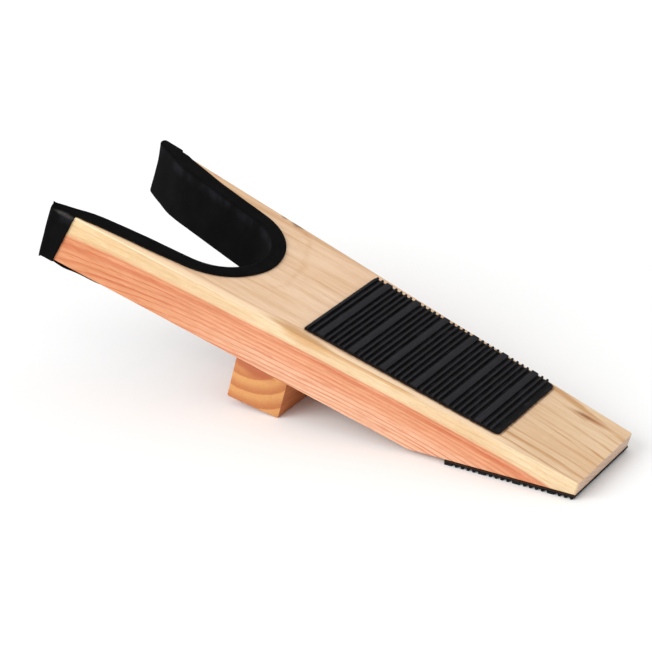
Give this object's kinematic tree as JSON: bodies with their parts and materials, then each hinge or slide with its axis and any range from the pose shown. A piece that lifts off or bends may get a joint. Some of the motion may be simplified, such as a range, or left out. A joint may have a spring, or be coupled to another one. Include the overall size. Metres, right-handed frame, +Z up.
{
  "type": "boot jack",
  "caption": "Tapered wooden boot jack held at a slope by a riser block, with a leather-lined heel notch and ribbed rubber on its tread and under its toe.",
  "frame": {"origin": "centre of the bounding box's base, on the floor that the jack stands on", "axes": "+X towards the thin toe end, +Y across the board to the left of someone looking along +X, +Z up"},
  "size_m": [0.3842, 0.1276, 0.1134],
  "materials": {
    "board_wood": "planed softwood, thin satin finish, eased edges",
    "block_wood": "planed softwood with end grain on its short faces",
    "suede": "black suede leather, nap outwards",
    "rubber_matting": "matt black ribbed rubber",
    "screw_steel": "bright zinc-plated steel"
  },
  "bodies": {
    "root": {"board": "board_wood", "riser_block": "block_wood", "jaw_lining": "suede", "top_tread": "rubber_matting", "floor_grip": "rubber_matting", "block_screws": "screw_steel"}
  },
  "joints": []
}
